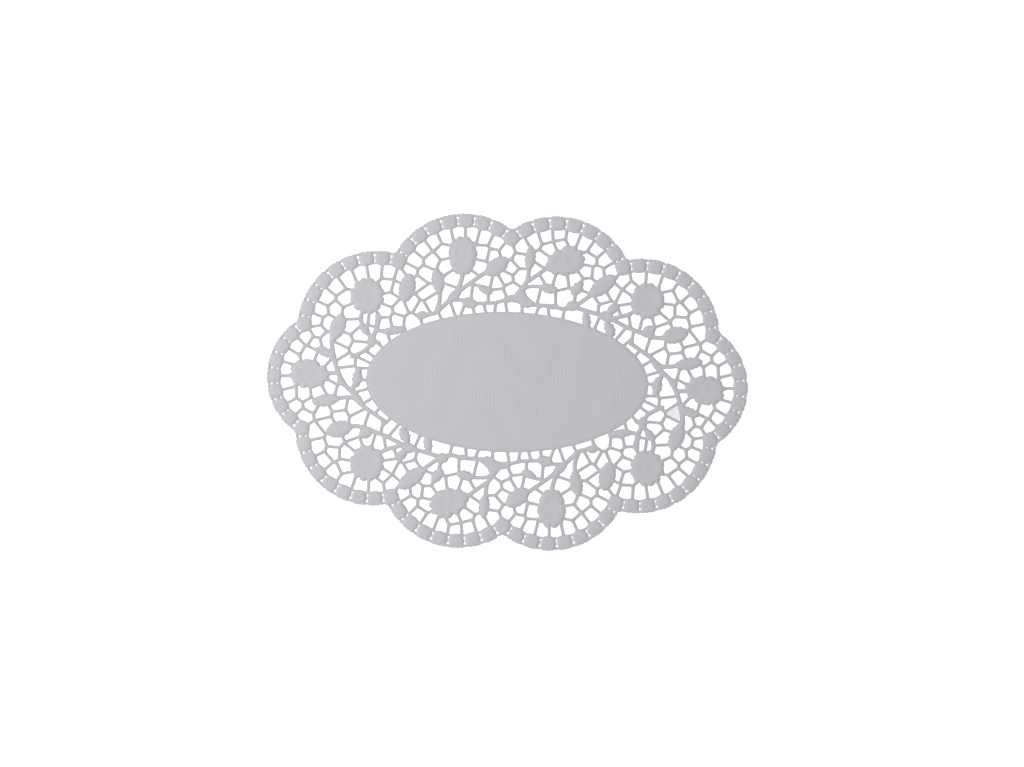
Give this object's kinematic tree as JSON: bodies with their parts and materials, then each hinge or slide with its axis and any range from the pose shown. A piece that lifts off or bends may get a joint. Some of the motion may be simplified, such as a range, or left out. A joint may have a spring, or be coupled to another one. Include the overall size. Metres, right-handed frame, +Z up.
{
  "type": "paper lace doily",
  "caption": "Oval paper lace doily, die-cut and embossed: a scalloped beaded border, an openwork net with flowers, leaves and stems, and a plain ribbed centre. Lies flat.",
  "frame": {"origin": "middle of the underside, on the surface that the doily lies on", "axes": "+X along the doily, +Y across it, +Z up, out of the embossed face"},
  "size_m": [0.2646, 0.1856, 0.0013],
  "materials": {
    "paper": "matt embossed lace paper, cool white"
  },
  "bodies": {
    "root": {"doily": "paper"}
  },
  "joints": []
}
